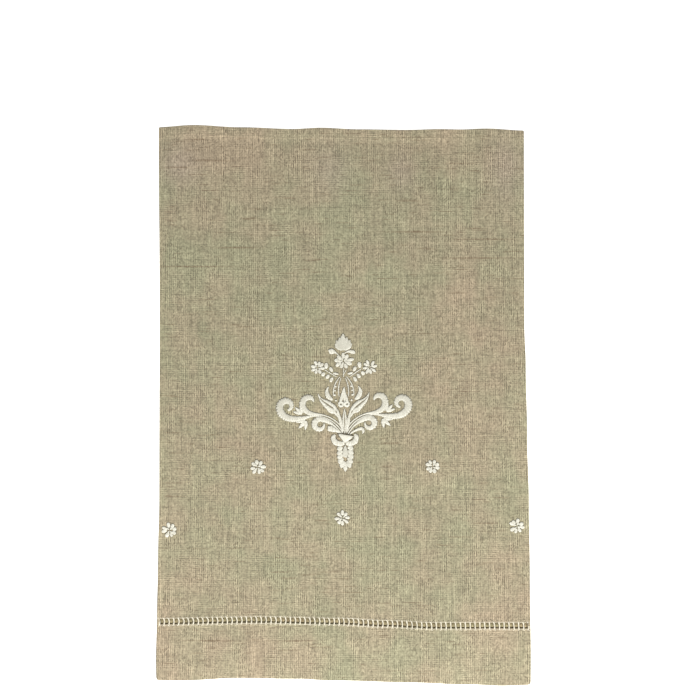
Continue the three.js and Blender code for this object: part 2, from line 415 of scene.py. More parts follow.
def makeSpotGroup():
    # one soft spot on the cloth: a bell, e to the power of minus the squared distance in half sizes
    inputs = {"Place": None, "Across": 0.0, "Along": 0.0, "Half Width": 10.0, "Half Height": 10.0}
    group, given, result = newGroup("softSpot", inputs, ["Mask"])
    times, timesPlus, over, less = mathIn(group, "MULTIPLY", "MULTIPLY_ADD", "DIVIDE", "SUBTRACT")
    x, y, _ = addNode(group, "SeparateXYZ", {0: given["Place"]})
    u = over(less(x, given["Across"]), given["Half Width"])
    v = over(less(y, given["Along"]), given["Half Height"])
    far = timesPlus(u, u, times(v, v))
    plug(group, result["Mask"], mathNode(group, "EXPONENT", times(far, -1.0)))
    return group


weaveGroup = makeWeaveGroup()
spotGroup = makeSpotGroup()
patchGroup = makePatchGroup()

linenLook = {
    "olive": (0.304, 0.289, 0.183, 1.0),
    "fawn": (0.354, 0.286, 0.193, 1.0),
    "rose": (0.349, 0.286, 0.215, 1.0),
    "shadow": (0.13, 0.094, 0.055, 1.0),  # between threads
    "slub": (0.17, 0.118, 0.07, 1.0),
    "behind": (1.0, 0.92, 0.8, 1.0),  # painted shade: the layer behind the ladder is tinted browner, as it looks in shade
    "threadPitch": 0.95,
    "slubLength": 28.0,
    "patchSize": 54.0,
    "threadContrast": 0.92,
    "crossingContrast": 1.0,
    "depthContrast": 0.16,
    "toneContrast": 0.66,
    "toneShift": 0.74,  # towards olive
    "topFawn": 0.35,  # how much more fawn the top edge is
    "lowFawn": 0.16,  # and the lower part
    "topRange": (200.0, 262.0),  # where on the cloth each of them begins and is full
    "lowRange": (-60.0, -230.0),
    "slubDark": 0.68,
    "slubUnder": 0.4,  # how much of a slub shows at the lightest crossings
    "fineRange": (0.2, 0.8),  # crossings from dark to light, for the fine slubs and for the placed ones
    "placedRange": (0.3, 0.8),
    "gapShadow": 0.35,  # share of shadow between threads, up to the second of these heights
    "gapRange": (0.0, 0.5),
    "crossingShadow": 0.22,  # and at the darkest crossings
    "crossingRange": (0.05, 0.28),
    "doubled": 0.06,  # how much lighter the cloth is where a hem lies under it
    "bump": 0.35,
    "bumpDepth": 0.25,
    "roughness": 0.9,
    "specular": 0.25,
    "sheen": 0.1,
    "sheenRoughness": 0.5,
}
# Places on the cloth, from its left edge and from its middle
slubs = {  # the dark ones that show
    "across": [19, 55, 38, 249, 308, 75, 35, 320, 310, 242, 51, 133],
    "along": [229.4, 236.0, 256.4, 167.4, 170.8, 152.2, 134.0, 160.4, 142.2, 197.4, -226.4, -226.8],
    "halfWidth": [13, 20, 9, 27, 8, 19, 34, 26, 30, 12, 28, 20],
    "halfHeight": [0.7] * 12,
    "share": [1.0] * 12,
}
fawnSpots = {  # where the flax is more fawn, or less where the lift is negative
    "across": [300, 14, 338, 64, 110, 62, 78, 176, 96],
    "along": [52, -205, -185, 250, 240, 198, -244, -240, -36],
    "halfWidth": [56, 34, 44, 56, 50, 44, 62, 26, 100],
    "halfHeight": [98, 85, 62, 24, 26, 34, 36, 34, 44],
    "lift": [0.58, 0.4, 0.38, 0.5, -0.1, 0.3, 0.35, -0.3, 0.42],
}
rosySpots = {  # where it is greyer and a little pink, and by what share
    "across": [20, 167, 236, 338],
    "along": [232, 227, 225, 228],
    "halfWidth": [20, 18, 13, 16],
    "halfHeight": [19, 21, 17, 30],
    "share": [0.7, 0.5, 0.5, 0.6],
}


def makeLinen(name, look):
    # colour = olive to fawn by tone, times the shades of thread, crossing and patch, then slubs and gaps
    material, tree, shader = newMaterial(name, look)
    add, less, times, timesPlus = mathIn(tree, "ADD", "SUBTRACT", "MULTIPLY", "MULTIPLY_ADD")
    place = attributeNode(tree, "clothPlace", "Vector")
    hemLayerAndShade = attributeNode(tree, "hemLayerAndShade", "Fac")
    patches = placeGroup(tree, patchGroup, {"Place": place, "Patch Size": look["patchSize"]})
    weave = placeGroup(tree, weaveGroup, {
        "Place": place, "Thread Pitch": look["threadPitch"], "Slub Length": look["slubLength"],
    })

    def about(value, contrast):
        # a half leaves the colour as it is
        return timesPlus(less(value, 0.5), contrast, 1.0)

    def spotMasks(table):
        for across, along, wide, high, share in zip(*table.values()):
            values = {"Across": across, "Along": along, "Half Width": wide, "Half Height": high}
            yield placeGroup(tree, spotGroup, {"Place": place, **values})["Mask"], share

    # the cloth is more fawn at its top edge, in its lower part and in a few soft spots
    along = addNode(tree, "SeparateXYZ", {0: place})[1]
    tone = about(patches["Tone"], look["toneContrast"])
    tone = add(tone, mapNode(tree, along, *look["topRange"], 0.0, look["topFawn"]))
    tone = add(tone, mapNode(tree, along, *look["lowRange"], 0.0, look["lowFawn"]))
    for mask, lift in spotMasks(fawnSpots):
        tone = timesPlus(mask, lift, tone)
    tone = less(tone, look["toneShift"], clamp=True)
    colour = mixColour(tree, tone, look["olive"], look["fawn"])
    for mask, share in spotMasks(rosySpots):
        colour = mixColour(tree, times(mask, share), colour, look["rose"])

    threads = about(weave["Thread"], look["threadContrast"])
    shade = times(threads, about(weave["Crossing"], look["crossingContrast"]))
    shade = times(shade, about(patches["Depth"], look["depthContrast"]))
    # a hem under the cloth makes it lighter; a value below 0, behind the ladder, darkens it as painted shade
    shade = times(shade, timesPlus(hemLayerAndShade, look["doubled"], 1.0))
    colour = mixColour(tree, 1.0, colour, combineNode(tree, shade, shade, shade), "MULTIPLY")

    # fine slubs, then the placed ones; light crossings cover part of both
    fine = times(weave["Slub"], mapNode(tree, weave["Crossing"], *look["fineRange"], 1.0, look["slubUnder"]))
    colour = mixColour(tree, times(fine, look["slubDark"]), colour, look["slub"])
    placed = 0.0
    for mask, _ in spotMasks(slubs):
        placed = mathNode(tree, "MAXIMUM", placed, mask)
    under = mapNode(tree, weave["Crossing"], *look["placedRange"], 1.0, look["slubUnder"])
    placed = times(placed, under)
    colour = mixColour(tree, placed, colour, look["slub"])

    # painted shade behind the ladder: the colour there is tinted browner
    behind = mixColour(tree, mapNode(tree, hemLayerAndShade, 0.0, -1.0, 0.0, 1.0), (1, 1, 1, 1), look["behind"])
    colour = mixColour(tree, 1.0, colour, behind, "MULTIPLY")
    gap = add(mapNode(tree, weave["Height"], *look["gapRange"], look["gapShadow"], 0.0),
              mapNode(tree, weave["Crossing"], *look["crossingRange"], look["crossingShadow"], 0.0))
    plug(tree, shader.inputs["Base Color"], mixColour(tree, gap, colour, look["shadow"]))
    plug(tree, shader.inputs["Normal"], bumpNode(tree, weave["Height"], look))
    return material


threadLook = {
    "light": (0.775, 0.755, 0.65, 1.0),
    "dark": (0.42, 0.40, 0.315, 1.0),
    "needleLineShade": (0.18, 0.152, 0.095, 1.0),  # partly the cloth's pulled-in edge round a stitched shape, partly painted shade where the stitches stand up from it
    "shade": 0.75,  # how much the passes of thread and the fibres change the tone
    "fibre": 0.35,
    "fibreScale": 2600.0,
    "bump": 0.3,
    "bumpDepth": 0.12,
    "roughness": 0.5,
    "specular": 0.4,
    "sheen": 0.15,
    "sheenRoughness": 0.35,
}
hemThreadLook = {
    **threadLook,
    "light": (0.42, 0.37, 0.25, 1.0),
    "dark": (0.30, 0.26, 0.17, 1.0),
    "roughness": 0.7,
}
barThreadLook = {
    **threadLook,
    "light": (0.83, 0.775, 0.62, 1.0),
    "dark": (0.52, 0.46, 0.34, 1.0),
    "needleLineShade": (0.165, 0.140, 0.086, 1.0),
    "roughness": 0.55,
}


def makeThread(name, look):
    # colour = dark to light by the thread's shade and a fine fibre noise; a shade under 0 is needle line,
    # partly pulled-in cloth and partly painted shade
    material, tree, shader = newMaterial(name, look)
    shade = attributeNode(tree, "threadShade", "Fac")
    place = addNode(tree, "TexCoord", {})["Object"]
    fibre = noiseNode(tree, place, scale=look["fibreScale"])
    tone = mathNode(tree, "MULTIPLY", shade, look["shade"])
    tone = mathNode(tree, "MULTIPLY_ADD", fibre, look["fibre"], tone, clamp=True)
    colour = mixColour(tree, tone, look["dark"], look["light"])
    needleLineShade = mapNode(tree, shade, 0.0, -0.5, 0.0, 1.0)
    plug(tree, shader.inputs["Base Color"], mixColour(tree, needleLineShade, colour, look["needleLineShade"]))
    plug(tree, shader.inputs["Normal"], bumpNode(tree, fibre, look))
    return material


linenMaterial = makeLinen("naturalLinen", linenLook)
threadMaterial = makeThread("ivoryThread", threadLook)
hemThreadMaterial = makeThread("flaxThread", hemThreadLook)
barMaterial = makeThread("creamThread", barThreadLook)
print("materials made")

# The cloth: one closed sheet whose two faces meet along a rounded rim, with the ladder cut through

rimSteps = np.array([0, 0.07, 0.25, 0.55, 1.0])
holeShares = np.array([-1, -0.86, -0.6, -0.2, 0.2, 0.6, 0.86, 1])
turning = {
    "reach": 3.3,
    "margin": 1.6,
    "low": 0.05,
    "high": 0.3,
    "shade": -1.6,  # in the hem layer attribute; below 0 marks the layer behind the ladder, darkened there as painted shade
    "steps": 90,
    "weaveShift": 300.0,  # so that its threads aren't those of the cloth before it
}


def barPlaces():
    # where the bars stand across the cloth, evenly spread between the end margins, and their pitch
    left = leftX(ladderY(0.0)) + ladder["endMargin"]
    right = rightX(ladderY(0.0)) - ladder["endMargin"]
    pitch = (right - left) / ladder["openings"]
    return left + pitch * np.arange(ladder["openings"] + 1), pitch


def roundCorner(fromSide, fromEnd, radius):
    # a point in the corner's square moves onto circles about the square's inner corner
    inside = (fromSide < radius) & (fromEnd < radius)
    a, b = 1 - fromSide / radius, 1 - fromEnd / radius
    side = radius * (1 - a * np.sqrt(np.clip(1 - b * b / 2, 0, 1)))
    end = radius * (1 - b * np.sqrt(np.clip(1 - a * a / 2, 0, 1)))
    return np.where(inside, side, fromSide), np.where(inside, end, fromEnd)


def makeTurning():
    # the hem's turned-in layer that passes behind the ladder: a thin closed strip along the ladder's line
    left, right = leftX(ladderY(0.0)) + turning["margin"], rightX(ladderY(0.0)) - turning["margin"]
    x = np.linspace(left, right, turning["steps"])
    side = np.array([-1, 1, 1, -1]) * turning["reach"]
    height = np.array([turning["low"], turning["low"], turning["high"], turning["high"]])
    y = ladderY(x)[:, None] + side
    points = np.stack([np.broadcast_to(x[:, None], y.shape), y, underHeight(x[:, None], y) + height], -1)
    index = np.arange(len(x) * 4).reshape(-1, 4)
    after = np.roll(index, -1, axis=1)
    quads = np.stack([index[:-1], after[:-1], after[1:], index[1:]], -1).reshape(-1, 4)
    quads = np.concatenate([quads, [index[0][::-1], index[-1]]])
    points = points.reshape(-1, 3)
    return points, quads, points * [1, 1, 0] + [0, turning["weaveShift"], 0]


def clothColumns():
    # columns as distances from the left edge at the ladder: the rims, and the sides and middle of every
    # opening and bar; openSide is -1 or 1 on the sides of an opening
    bars, pitch = barPlaces()
    origin, half = leftX(ladderY(0.0)), ladder["barWidth"] / 2
    width = rightX(ladderY(0.0)) - origin
    openLeft, openRight = bars[:-1] + half - origin, bars[:-1] + pitch - half - origin
    groups = [
        (rimSteps, 0), (openLeft, -1), ((openLeft + openRight) / 2, 0), (openRight, 1), (bars - origin, 0),
        (width - rimSteps, 0),
    ]
    columns = np.concatenate([places for places, _ in groups])
    openSide = np.concatenate([np.full(len(places), side) for places, side in groups])
    order = np.argsort(columns)
    columns = columns[order]
    # a cell between two columns is open if its middle lies between the sides of an opening
    middle = (columns[:-1] + columns[1:]) / 2
    hit = np.searchsorted(openLeft, middle) - 1
    isOpen = (hit >= 0) & (middle < openRight[np.clip(hit, 0, None)])
    return columns / width, openSide[order], isOpen


def clothRows(low, line, high):
    # rows of y, band by band: the deep hem, the ladder's openings, the body and the top hem
    corner, slope = cloth["cornerBottom"], cloth["slope"]
    half, gap = ladder["height"] / 2, ladder["edgeGap"]
    foot = line - half - gap

    def between(start, stop, length):
        # even rows about rowStep apart
        shares = np.linspace(0, 1, math.ceil(length / cloth["rowStep"]))
        return [start + (stop - start) * share for share in shares]

    hemRows = [low + step for step in [*rimSteps, *cloth["cornerRows"]]]
    hemRows += between(low + corner, foot - slope, cloth["hemDepth"] - corner)
    hemRows += [foot - slope / 2, foot, line - half - gap / 2]
    holeRows = [line + half * share for share in holeShares]
    bodyEnd = high - cloth["topHem"] - slope
    bodyRows = between(line + half + gap / 2, bodyEnd, cloth["length"] - cloth["hemDepth"])
    topRows = [high - step for step in [cloth["topHem"], *cloth["topRows"], *rimSteps[::-1]]]
    rows = np.array(hemRows + holeRows + bodyRows + topRows)
    return rows, slice(len(hemRows), len(hemRows) + len(holeRows))


def makeCloth():
    # a grid of x and y, with a half round rim: half the thickness times the root of 1 less (1 - rim) squared
    across, openSide, isOpen = clothColumns()
    roughX = (across - 0.5) * cloth["width"]
    low, line, high = bottomY(roughX), ladderY(roughX), topY(roughX)
    rows, holes = clothRows(low, line, high)
    x = leftX(rows) + (rightX(rows) - leftX(rows)) * across
    # the sides of an opening lean in where a bar joins the cloth
    lean = np.zeros(len(rows))
    lean[holes] = np.abs(holeShares) ** 4 * ladder["round"]
    x = x - openSide * lean[:, None]
    fromLeft, fromRight = x - leftX(rows), rightX(rows) - x
    fromBottom, fromTop = rows - low, high - rows
    radius = np.where(fromBottom < fromTop, cloth["cornerBottom"], cloth["cornerTop"])
    side, end = roundCorner(np.minimum(fromLeft, fromRight), np.minimum(fromBottom, fromTop), radius)
    x = np.where(fromLeft < fromRight, leftX(rows) + side, rightX(rows) - side)
    y = np.where(fromBottom < fromTop, low + end, high - end)
    fromSide = np.minimum(fromLeft, fromRight)
    thick = thicknessAt(fromSide, fromTop, rows - line)
    rim = np.clip(np.minimum(fromSide, np.minimum(fromBottom, fromTop)) / (thick / 2), 0, 1)
    halfThick = thick / 2 * np.sqrt(1 - (1 - rim) ** 2)
    middle = underHeight(x, y) + thick / 2

    nRow, nCol = x.shape
    skins = [np.stack([x, y, middle + up * halfThick], -1) for up in (1, -1)]
    points = np.concatenate(skins).reshape(-1, 3)
    index = np.arange(nRow * nCol).reshape(nRow, nCol)
    isRim = np.ones((nRow, nCol), bool)
    isRim[1:-1, 1:-1] = False
    below = np.where(isRim, index, index + nRow * nCol)  # the two faces share the rim
    cut = np.zeros((nRow - 1, nCol - 1), bool)
    cut[holes.start:holes.stop - 1] = isOpen
    keep = ~cut

    def skin(grid, way):
        return np.stack([grid[:-1, :-1], grid[:-1, 1:], grid[1:, 1:], grid[1:, :-1]], -1)[keep][:, ::way]

    def wall(meets, way, rowStep):
        # from the upper to the lower face, along a column, or along a row where rowStep is 1
        r, c = np.nonzero(meets)
        start, stop = (r + rowStep, c + 1), (r + 1, c + 1 - rowStep)
        return np.stack([index[start], below[start], below[stop], index[stop]], -1)[:, ::way]

    faces = np.concatenate([
        skin(index, 1), skin(below, -1),
        # walls of the openings, where a kept cell meets a cut one
        wall(keep[:, :-1] & cut[:, 1:], 1, 0), wall(cut[:, :-1] & keep[:, 1:], -1, 0),
        wall(keep[:-1] & cut[1:], 1, 1), wall(cut[:-1] & keep[1:], -1, 1),
    ])
    used, faces = np.unique(faces, return_inverse=True)
    stripPoints, stripFaces, stripPlace = makeTurning()
    piece = addMesh("linen_sheet", np.concatenate([points[used], stripPoints]),
                    [faces.reshape(-1, 4), stripFaces + len(used)], linenMaterial)
    flatX = np.broadcast_to(across * cloth["width"], y.shape)
    flat = np.stack([flatX, y, np.zeros_like(y)], -1).reshape(-1, 3)
    place = np.concatenate([flat, flat])[used]
    setAttribute(piece, "clothPlace", "FLOAT_VECTOR", np.concatenate([place, stripPlace]))
    layer = np.clip((thick - cloth["plainThick"]) / (cloth["sideThick"] - cloth["plainThick"]), 0, 1)
    # the turned-in edge lies under the lowest part of the deep hem and again beside the ladder
    ease = cloth["turningEase"]
    inHem = smoothStep(0, ease, line - ladder["height"] / 2 - y)
    turned = 1 - smoothStep(0, ease, np.minimum(y - low, line - y) - cloth["turning"])
    layer = (layer * (1 - inHem * cloth["turningLight"] * (1 - turned))).ravel()
    layer = np.concatenate([layer, layer])[used]
    # the layer behind the ladder gets a value below 0, for its painted shade
    setAttribute(piece, "hemLayerAndShade", "FLOAT", np.append(layer, np.full(len(stripPoints), turning["shade"])))
    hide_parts("linen_cloth")
    return piece


sheet = makeCloth()
print("cloth made", len(sheet.data.polygons), "faces")

# Threads: many round threads of the same number of steps are made at once


def closeRings(rings):
    # for each row of rings, quads between neighbours and a fan of triangles onto the middle of each end
    count, steps, sides = rings.shape[:3]
    index = np.arange(count * steps * sides).reshape(count, steps, sides)
    after = np.roll(index, -1, axis=2)
    quads = np.stack([index[:, :-1], index[:, 1:], after[:, 1:], after[:, :-1]], -1).reshape(-1, 4)
    points = np.concatenate([rings.reshape(-1, 3), rings[:, [0, -1]].mean(2).reshape(-1, 3)])
    ends = np.arange(count * 2).reshape(count, 2) + index.size
    first = np.stack([np.broadcast_to(ends[:, :1], (count, sides)), index[:, 0], after[:, 0]], -1)
    last = np.stack([np.broadcast_to(ends[:, 1:], (count, sides)), after[:, -1], index[:, -1]], -1)
    return points, quads, np.concatenate([first, last]).reshape(-1, 3)


def threadTubes(paths, radius, shade, sides=5, flatten=1.0):
    # a ring of points about each step of each path, square to the path and to +Z; shade is one number, or
    # one for each path, and then the tubes' ends have a middle shade
    tangent = np.gradient(paths, axis=1)
    tangent /= np.linalg.norm(tangent, axis=2, keepdims=True) + 1e-9
    side = np.cross(tangent, [0, 0, 1.0])
    side /= np.linalg.norm(side, axis=2, keepdims=True) + 1e-9
    up = np.cross(side, tangent)
    angle = np.arange(sides) / sides * 2 * np.pi
    radius = np.broadcast_to(radius, paths.shape[:2])[..., None, None]
    ring = np.cos(angle)[:, None] * side[:, :, None] + flatten * np.sin(angle)[:, None] * up[:, :, None]
    if np.ndim(shade):
        shade = np.append(np.repeat(shade, paths.shape[1] * sides), np.full(len(paths) * 2, 0.5))
    return *closeRings(paths[:, :, None] + radius * ring), shade


def addThreads(name, parts, material=threadMaterial):
    # joins the (points, quads, triangles, shade) parts into one piece
    start = np.cumsum([0] + [len(part[0]) for part in parts])
    points = np.concatenate([part[0] for part in parts])
    faces = [np.concatenate([part[k] + first for part, first in zip(parts, start)]) for k in (1, 2)]
    piece = addMesh(name, points, faces, material)
    shades = np.concatenate([np.broadcast_to(part[3], len(part[0])) for part in parts])
    setAttribute(piece, "threadShade", "FLOAT", shades)


# Ladder bars: each is a bundle wrapped round and round, with splayed feet and a small loop to the next

barLook = {
    "reachUp": 3.3,
    "reachDown": 3.9,
    "radius": 0.66,
    "flatten": 0.6,
    "wraps": 11,
    "wrapDepth": 0.1,
    "waist": 0.12,  # how much thinner a bar is in its middle
    "lift": 0.12,  # how far bars and feet stand up from the cloth, and how far they sink in at their ends
    "sink": 0.35,
    "foldSpan": (-0.75, 0.3),  # the part of a bar over which it comes down from the hem's fold
    "bowMiddle": 0.55,  # share of the bow that a bar's middle goes to the right; its ends go to the left
    "bowSpread": 0.18,
    "lean": -0.25,
    "leanSpread": 0.16,
    "shades": (0.75, 1.15),
    "footLength": 1.5,
    "footLengths": (0.6, 1.2),  # shares of that length
    "footRadius": 0.26,
    "footTurn": 42,
    "footSpread": 12,
    "footInset": 0.3,
    "footShade": 0.75,
    "loopRadius": 0.2,
    "loopReach": 0.35,
    "loopReaches": (0.2, 1.2),  # shares of that reach
    "loopInset": 0.6,
    "loopLift": 0.04,
    "loopWave": 0.08,
    "loopShades": (0.1, 0.9),
    "holeRadius": 0.6,  # of the dark dots, painted shade of the needle holes
    "holeHalf": 0.5,
    "holeTaper": 0.9,
    "holeFlatten": 0.2,
    "holeLean": 0.1,
    "holeAbove": 1.3,
    "holeSpread": 0.2,
    "holeShade": -1.0,
}
barBow = {"x": [-185, -60, 60, 120, 185], "bow": [1.15, 0.9, 0.7, 0.15, 0.35]}


def makeLadderThreads():
    # each bar bows to the right as a flat parabola and rises onto the hem's fold at its lower end
    look = barLook
    barX, pitch = barPlaces()
    count = len(barX)
    bow = easedLine(barBow)(barX) + draw.normal(0, look["bowSpread"], count)
    lean = look["lean"] + draw.normal(0, look["leanSpread"], count)

    def onCloth(x, y, above):
        return np.stack([x, y, surfaceHeight(x, y) + above], -1)

    steps = look["wraps"] * 3 + 1
    share = np.linspace(-1, 1, steps)
    x = barX[:, None] + bow[:, None] * (look["bowMiddle"] - share ** 2) + lean[:, None] * share
    y = ladderY(x) + np.where(share < 0, look["reachDown"], look["reachUp"]) * share
    onFold = 1 - smoothStep(*look["foldSpan"], share)
    rise = cloth["plainThick"] + (cloth["foldThick"] - cloth["plainThick"]) * onFold
    sink = look["lift"] * (1 - share ** 2) - look["sink"] * np.abs(share) ** 8
    paths = np.stack([x, y, underHeight(x, y) + rise + sink], -1)
    wrap = np.abs(np.sin(np.arange(steps) / 3 * np.pi))
    radius = look["radius"] * (1 - look["waist"] * (1 - share ** 2)) - look["wrapDepth"] * (1 - wrap)
    parts = [threadTubes(paths, radius, draw.uniform(*look["shades"], count), 8, look["flatten"])]

    endBow = bow * (look["bowMiddle"] - 1)
    for end, reach in ((-1, look["reachDown"]), (1, look["reachUp"])):
        share = np.linspace(0, 1, 5)
        footX = barX + lean * end + endBow
        for spread in (-1, 1):
            turn = np.radians(look["footTurn"] + draw.normal(0, look["footSpread"], count))[:, None]
            run = share * look["footLength"] * draw.uniform(*look["footLengths"], (count, 1))
            x = footX[:, None] + spread * np.sin(turn) * run
            y = ladderY(x) + end * (reach - look["footInset"] + np.cos(turn) * run)
            paths = onCloth(x, y, look["lift"] - look["sink"] * share ** 2)
            parts.append(threadTubes(paths, look["footRadius"], look["footShade"]))
        # loops from each bar's end to the next, lying in the cloth's edge
        share = np.linspace(0, 1, 9)
        x = footX[:-1, None] + pitch * share
        reaches = look["loopReach"] * draw.uniform(*look["loopReaches"], (count - 1, 1))
        y = ladderY(x) + end * (reach - look["loopInset"] + np.sin(np.pi * share) ** 0.7 * reaches)
        paths = onCloth(x, y, look["loopLift"] + look["loopWave"] * np.cos(2 * np.pi * share))
        parts.append(threadTubes(paths, look["loopRadius"], draw.uniform(*look["loopShades"], count - 1)))

    # a dark dot above each opening, between the feet of its two bars: painted shade of a needle hole
    share = np.linspace(-1, 1, 5)
    middle = barX[:-1] + pitch / 2 + endBow[:-1] + draw.normal(0, look["holeSpread"], count - 1)
    x = middle[:, None] + look["holeLean"] * share
    y = ladderY(x) + look["reachUp"] + look["holeAbove"] + share * look["holeHalf"]
    radius = look["holeRadius"] * np.sqrt(1 - look["holeTaper"] * share ** 2)
    parts.append(threadTubes(onCloth(x, y, 0.0), radius, look["holeShade"], 6, look["holeFlatten"]))
    addThreads("ladder_threads", parts, barMaterial)


makeLadderThreads()
print("ladder threads made")

# Small stitches along the side and top hems, in thread of the cloth's own colour

hemStitch = {
    "pitch": 2.7,
    "length": 1.7,
    "radius": 0.17,
    "above": 0.1,
    "dive": 0.9,
    "shade": 0.5,
    "sideSpan": (-200, 262),
    "topSpan": (-170, 168),
}


def makeHemStitches():
    # each stitch is a short straight thread that dives into the cloth at its ends as a cubic
    def stitches(x, y, dx, dy):
        share = np.linspace(-0.5, 0.5, 5)
        px, py = (at[:, None] + way[:, None] * share * hemStitch["length"] for at, way in ((x, dx), (y, dy)))
        height = surfaceHeight(px, py) + hemStitch["above"] - hemStitch["dive"] * np.abs(share) ** 3
        return threadTubes(np.stack([px, py, height], -1), hemStitch["radius"], hemStitch["shade"])

    parts = []
    y = np.arange(*hemStitch["sideSpan"], hemStitch["pitch"])
    inset = cloth["sideHem"] - cloth["seamInset"]
    for x in (leftX(y) + inset, rightX(y) - inset):
        parts.append(stitches(x, y, np.gradient(x, y), np.ones_like(y)))
    x = np.arange(*hemStitch["topSpan"], hemStitch["pitch"])
    y = topY(x) - cloth["topHem"] + cloth["seamInset"]
    parts.append(stitches(x, y, np.ones_like(x), np.gradient(y, x)))
    addThreads("hem_stitches", parts, hemThreadMaterial)


makeHemStitches()
print("hem stitches made")

# Satin stitch. A stroke is drawn like a pen line: it starts at a place with a heading in degrees and
# makes runs, each with a length, a turn, and a lateness that says how much of the turn waits for the end.
# The thread goes from side to side of the stroke, one ridge for each pass, over a soft crown.

stitchLook = {
    "penStep": 0.15,  # the pen line's steps
    "thinnest": 0.25,
    "threadPitch": 0.46,
    "rise": 0.45,  # height at the middle of a narrow stroke
    "risePerWidth": 0.07,
    "ridge": 0.11,
    "sink": 0.3,
    "slant": 0.35,  # how far a pass leans along the stroke, as a share of its width
    "raggedEdge": 0.09,
    "edgeStep": 0.08,  # every second pass ends this much further out
    "edgeHeight": 0.06,
    "needleLineShade": 0.4,  # width of the pulled-in cloth and its painted shade beside a stroke
    "shades": (0.32, 1.15),
    "dimples": 0.15,  # share of the places where a wide stroke shows a needle's dent, as a dot of painted shade
    "dimpleFrom": 3,  # the width at which they start
    "dimpleShade": -0.12,
    # the vein is a groove in the crown, painted darker along it as shade
    "veinDepth": 0.6,
    "veinWidth": 0.16,
    "veinShade": -0.6,
    "veinReach": 0.36,  # share of the stroke's length either way from its middle
    "toothPitch": 1.9,
    "toothWidths": (2.0, 4.0),  # widths at which a stroke's teeth begin and are full
}
stitchSides = np.array([-1.0001, -1, -0.88, -0.6, -0.3, -0.06, 0.06, 0.3, 0.6, 0.88, 1, 1.0001])
beside, atEdge, nearEdge = (np.abs(stitchSides) > far for far in (1, 0.95, 0.7))


def stroke(start, heading, runs, widths, **more):
    # more may hold slant, lift, teeth, vein, greys, outline and side
    return {"start": start, "heading": heading, "runs": runs, "widths": widths, **more}


def walkStroke(start, heading, runs):
    # adds up short steps whose heading turns by the run's turn times share to the power of its lateness
    headings, steps = [], []
    for length, turn, late in runs:
        count = max(8, int(length / stitchLook["penStep"]))
        share = (np.arange(count) + 0.5) / count
        headings.append(heading + turn * share ** late)
        steps.append(np.full(count, length / count))
        heading += turn
    angle, step = np.radians(np.concatenate(headings)), np.concatenate(steps)
    moves = np.stack([np.cos(angle), np.sin(angle)], 1) * step[:, None]
    line = np.concatenate([[[0, 0]], np.cumsum(moves, 0)]) + np.array(start, float)
    return line, np.concatenate([[0], np.cumsum(step)])


def strokeWidth(widths, share):
    # a smooth cubic curve through evenly spaced widths, never under the thinnest
    values = np.array(widths, float)
    knots = np.linspace(0, 1, len(values))
    slopes = np.gradient(values, knots)
    row = np.clip(np.searchsorted(knots, share, side="right") - 1, 0, len(knots) - 2)
    span = knots[1] - knots[0]
    t = (share - knots[row]) / span
    return np.clip(
        (2 * t ** 3 - 3 * t ** 2 + 1) * values[row] + (t ** 3 - 2 * t ** 2 + t) * span * slopes[row]
        + (3 * t ** 2 - 2 * t ** 3) * values[row + 1] + (t ** 3 - t ** 2) * span * slopes[row + 1],
        stitchLook["thinnest"], None)


def strokeShades(one, at, local):
    # a shade for each pass of thread, with painted shade at the needles' dents, along the vein and in the
    # needle line
    look, greys = stitchLook, one.get("greys", [1.0])
    passes = np.repeat(draw.uniform(*look["shades"], len(at) // 2 + 1), 2)[:len(at)]
    passes = passes * np.interp(at, np.linspace(0, 1, len(greys)), greys)
    shade = np.repeat(passes[:, None], len(stitchSides) + 1, axis=1)
    edge = shade[:, :-1]  # all but the keel
    # dark dots of painted shade stand for the needles' dents, which the crown doesn't have
    dent = draw.uniform(0, 1, edge.shape) < look["dimples"]
    edge[dent & ~nearEdge & (local > look["dimpleFrom"])] = look["dimpleShade"]
    # painted shade along the vein's groove
    if one.get("vein"):
        nearMiddle = np.abs(at[:, None] - 0.5) < look["veinReach"]
        edge[(np.abs(stitchSides) < 0.1) & nearMiddle] = look["veinShade"]
    # the stroke's edges take the needle line's painted shade, as dark as its outline says
    edge[:, atEdge] = -one.get("outline", 1.0)
    return np.append(shade, [0.5, 0.5])


